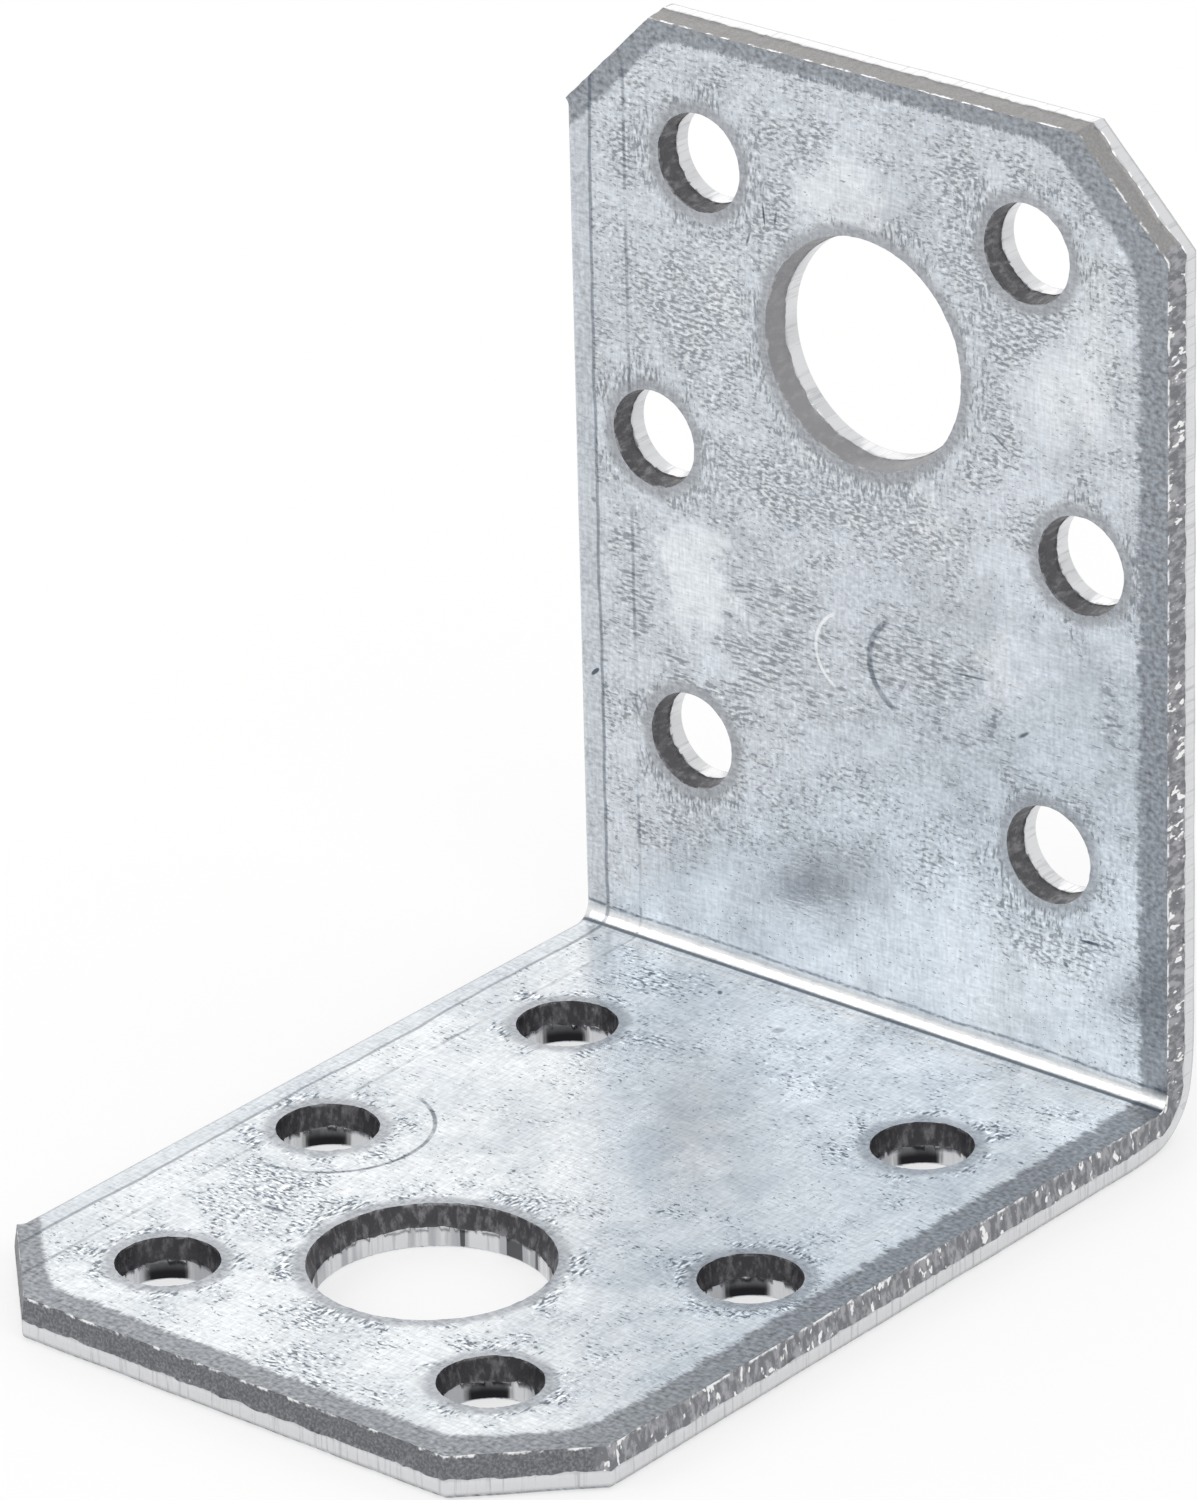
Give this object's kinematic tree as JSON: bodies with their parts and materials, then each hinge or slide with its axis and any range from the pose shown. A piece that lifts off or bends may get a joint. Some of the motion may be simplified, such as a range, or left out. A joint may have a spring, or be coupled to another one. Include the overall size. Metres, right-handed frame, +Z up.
{
  "type": "angle bracket",
  "caption": "Folded sheet-steel angle bracket with cut corners, rows of nail holes and a larger bolt hole in each leg, zinc coated.",
  "frame": {"origin": "On the ground, under the middle of the seat leg and of the strip's width.", "axes": "+X across the strip, +Y towards the heel, so that the seat leg runs to -Y, +Z up the upright leg."},
  "size_m": [0.0356, 0.0486, 0.05],
  "materials": {
    "zinc_coating": "Zinc coating, half gloss, scuffed by the coil and the press."
  },
  "bodies": {
    "root": {"bracket": "zinc_coating"}
  },
  "joints": []
}
